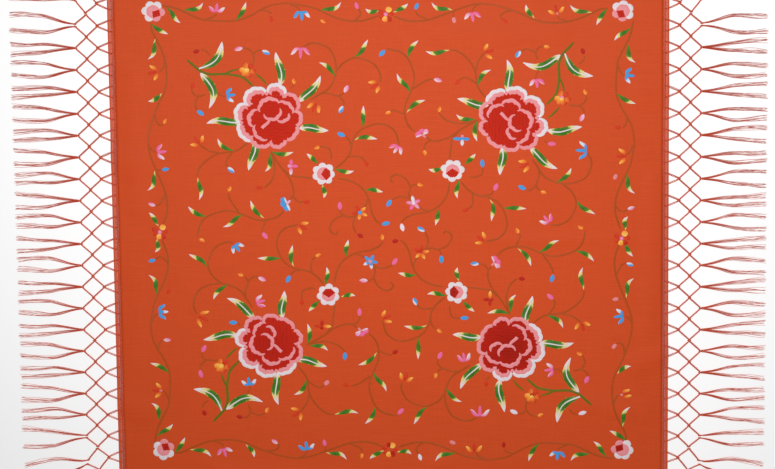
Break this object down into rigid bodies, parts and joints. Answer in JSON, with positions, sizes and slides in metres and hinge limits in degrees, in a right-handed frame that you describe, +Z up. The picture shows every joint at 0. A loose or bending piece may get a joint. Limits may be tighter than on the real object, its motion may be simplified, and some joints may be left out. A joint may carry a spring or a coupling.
{
  "type": "manila shawl",
  "caption": "Square embroidered silk shawl laid flat, with padded roses and small flowers, rolled hems and a long knotted fringe on every side.",
  "frame": {"origin": "middle of the silk panel's flat underside, on the surface that the shawl lies on", "axes": "+Z up out of the embroidered face, +X to the right and +Y to the top of the shawl as laid out"},
  "size_m": [1.7787, 1.7786, 0.0068],
  "materials": {
    "silk_crepe": "orange-red silk crepe, soft sheen",
    "fringe_silk": "orange-red twisted silk yarn",
    "embroidery_red": "satin stitch in red and pink floss silk",
    "embroidery_white": "satin stitch in white and pink floss silk",
    "embroidery_green": "satin and stem stitch in green floss silk",
    "embroidery_mixed": "satin stitch in blue, pink and orange floss silk"
  },
  "bodies": {
    "root": {"silk_panel": "silk_crepe", "hem_top": "silk_crepe", "hem_right": "silk_crepe", "hem_bottom": "silk_crepe", "hem_left": "silk_crepe", "fringe_top": "fringe_silk", "fringe_right": "fringe_silk", "fringe_bottom": "fringe_silk", "fringe_left": "fringe_silk", "rose_1": "embroidery_red", "rose_2": "embroidery_red", "rose_3": "embroidery_red", "rose_4": "embroidery_red", "middle_flower_1": "embroidery_white", "middle_flower_2": "embroidery_white", "middle_flower_3": "embroidery_white", "middle_flower_4": "embroidery_white", "corner_flower_1": "embroidery_white", "corner_flower_2": "embroidery_white", "corner_flower_3": "embroidery_white", "corner_flower_4": "embroidery_white"}
  },
  "joints": []
}
